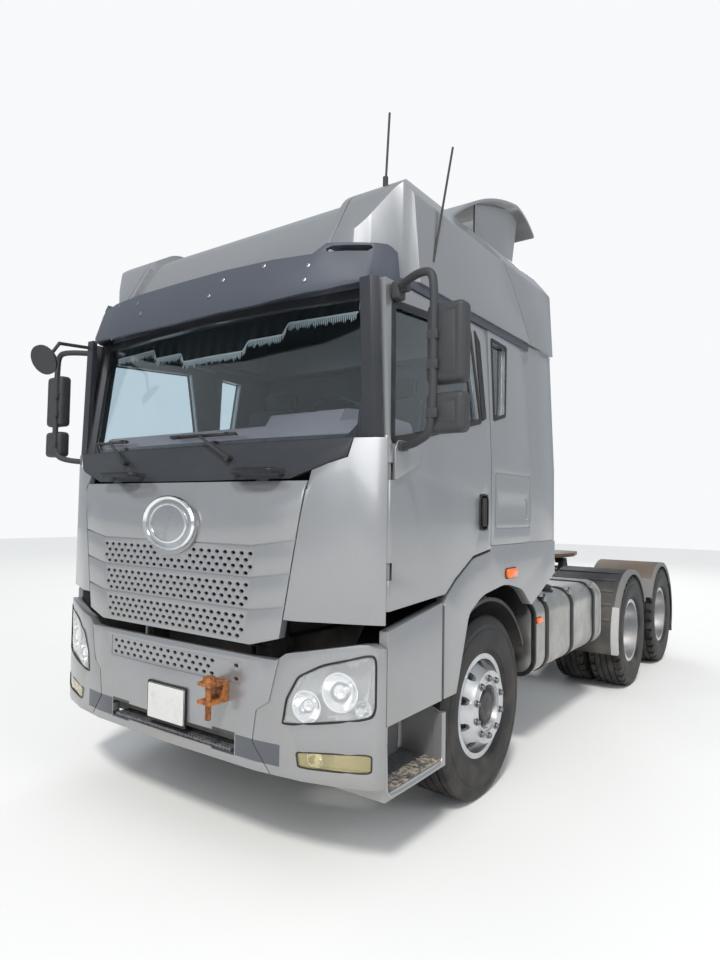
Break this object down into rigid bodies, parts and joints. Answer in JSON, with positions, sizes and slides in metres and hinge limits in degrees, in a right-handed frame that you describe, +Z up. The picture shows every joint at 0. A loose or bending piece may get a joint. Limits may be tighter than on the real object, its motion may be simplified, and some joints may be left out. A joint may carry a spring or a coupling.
{
  "type": "semi truck tractor unit",
  "caption": "Cab-over semi truck tractor with a high-roof tilting cab, opening doors and front lid, steered front wheels, twin-tyred tandem rear axles and a coupling plate.",
  "frame": {"origin": "on the floor under the middle of the bounding box", "axes": "+X to the vehicle's left, front towards -Y, +Z up; the vehicle is longest along Y"},
  "size_m": [3.28, 7.07, 3.9898],
  "materials": {
    "body_paint": "silver-grey metallic paint",
    "frame_paint": "satin black chassis paint",
    "lamp_glass": "clear lens",
    "rusty_steel": "orange paint and rust",
    "radiator": "dark fins",
    "engine": "painted casting",
    "spring_steel": "dull steel",
    "tank_metal": "brushed",
    "strap": "rubber-lined strap",
    "dark_plastic": "grained black plastic",
    "guard_plastic": "dull grey plastic",
    "tail_lamp": "red lens",
    "clear_glass": "tinted glazing",
    "visor_plastic": "dark slate plastic",
    "dash_plastic": "soft mauve grey",
    "seat_cloth": "woven cloth",
    "mirror_housing": "dark grey plastic",
    "greased_steel": "greasy steel",
    "wheel_metal": "polished",
    "tyre": "rubber"
  },
  "bodies": {
    "chassis": {"frame_rails": "frame_paint", "cross_members": "frame_paint", "front_bumper": "body_paint", "front_lamps": "lamp_glass", "tow_shackle": "rusty_steel", "radiator_pack": "radiator", "engine_block": "engine", "tilt_brackets": "frame_paint", "front_axle": "frame_paint", "suspension": "spring_steel", "rear_axles": "frame_paint", "prop_shafts": "frame_paint", "fuel_tank": "tank_metal", "tank_straps": "strap", "battery_unit": "dark_plastic", "mudguards": "guard_plastic", "entry_steps": "body_paint", "fifth_wheel_base": "frame_paint", "tail_lamps": "tail_lamp"},
    "cab": {"cab_floor": "frame_paint", "cab_back_wall": "body_paint", "cab_sides": "body_paint", "side_fairings": "body_paint", "cab_front_frame": "dark_plastic", "cab_glass": "clear_glass", "cowl_panel": "dark_plastic", "corner_panels": "body_paint", "wheel_arches": "body_paint", "cab_roof": "body_paint", "roof_band": "dark_plastic", "sun_visor": "visor_plastic", "roof_deflector": "body_paint", "wipers": "dark_plastic", "dashboard": "dash_plastic", "seats_and_bunk": "seat_cloth", "antennas": "dark_plastic", "front_mirror": "mirror_housing"},
    "front_lid": {"front_lid": "body_paint"},
    "steering_wheel": {"steering_wheel": "dark_plastic"},
    "fifth_wheel": {"fifth_wheel_plate": "greased_steel"},
    "door_left": {"door_left": "body_paint", "door_glass_left": "clear_glass", "mirror_left": "mirror_housing"},
    "knuckle_left": {"knuckle_left": "frame_paint"},
    "wheel_front_left": {"wheel_front_left": "wheel_metal", "tyre_front_left": "tyre"},
    "wheels_mid_left": {"wheels_mid_left": "wheel_metal", "tyres_mid_left": "tyre"},
    "wheels_rear_left": {"wheels_rear_left": "wheel_metal", "tyres_rear_left": "tyre"},
    "door_right": {"door_right": "body_paint", "door_glass_right": "clear_glass", "mirror_right": "mirror_housing"},
    "knuckle_right": {"knuckle_right": "frame_paint"},
    "wheel_front_right": {"wheel_front_right": "wheel_metal", "tyre_front_right": "tyre"},
    "wheels_mid_right": {"wheels_mid_right": "wheel_metal", "tyres_mid_right": "tyre"},
    "wheels_rear_right": {"wheels_rear_right": "wheel_metal", "tyres_rear_right": "tyre"}
  },
  "joints": [
    {"name": "cab_tilt", "type": "hinge", "parent": "chassis", "child": "cab", "pos_m": [0, -3.255, 1.2], "axis": [1, 0, 0], "range_deg": [0, 55]},
    {"name": "door_left_swing", "type": "hinge", "parent": "cab", "child": "door_left", "pos_m": [1.221, -3.131, 1.7], "axis": [0, 0, -1], "range_deg": [0, 70]},
    {"name": "door_right_swing", "type": "hinge", "parent": "cab", "child": "door_right", "pos_m": [-1.221, -3.131, 1.7], "axis": [0, 0, 1], "range_deg": [0, 70]},
    {"name": "lid_lift", "type": "hinge", "parent": "cab", "child": "front_lid", "pos_m": [0, -3.306, 1.8375], "axis": [-1, 0, 0], "range_deg": [0, 78]},
    {"name": "steering_wheel_turn", "type": "hinge", "parent": "cab", "child": "steering_wheel", "pos_m": [0.52, -2.605, 2.12], "axis": [0, 0.6428, 0.766], "range_deg": [-760, 760]},
    {"name": "steer_left", "type": "hinge", "parent": "chassis", "child": "knuckle_left", "pos_m": [0.865, -1.965, 0.538], "axis": [0, 0, 1], "range_deg": [-38, 38]},
    {"name": "steer_right", "type": "hinge", "parent": "chassis", "child": "knuckle_right", "pos_m": [-0.865, -1.965, 0.538], "axis": [0, 0, 1], "range_deg": [-38, 38]},
    {"name": "wheel_front_left_spin", "type": "hinge", "parent": "knuckle_left", "child": "wheel_front_left", "pos_m": [1.025, -1.965, 0.538], "axis": [1, 0, 0], "continuous": true},
    {"name": "wheel_front_right_spin", "type": "hinge", "parent": "knuckle_right", "child": "wheel_front_right", "pos_m": [-1.025, -1.965, 0.538], "axis": [1, 0, 0], "continuous": true},
    {"name": "fifth_wheel_pitch", "type": "hinge", "parent": "chassis", "child": "fifth_wheel", "pos_m": [0, 1.755, 1.165], "axis": [1, 0, 0], "range_deg": [-12, 12]},
    {"name": "wheels_mid_left_spin", "type": "hinge", "parent": "chassis", "child": "wheels_mid_left", "pos_m": [0.915, 1.335, 0.538], "axis": [1, 0, 0], "continuous": true},
    {"name": "wheels_mid_right_spin", "type": "hinge", "parent": "chassis", "child": "wheels_mid_right", "pos_m": [-0.915, 1.335, 0.538], "axis": [1, 0, 0], "continuous": true},
    {"name": "wheels_rear_left_spin", "type": "hinge", "parent": "chassis", "child": "wheels_rear_left", "pos_m": [0.915, 2.685, 0.538], "axis": [1, 0, 0], "continuous": true},
    {"name": "wheels_rear_right_spin", "type": "hinge", "parent": "chassis", "child": "wheels_rear_right", "pos_m": [-0.915, 2.685, 0.538], "axis": [1, 0, 0], "continuous": true}
  ],
  "couplings": [
    {"joint": "steer_right", "follows": "steer_left", "ratio": 1},
    {"joint": "steering_wheel_turn", "follows": "steer_left", "ratio": 20}
  ]
}
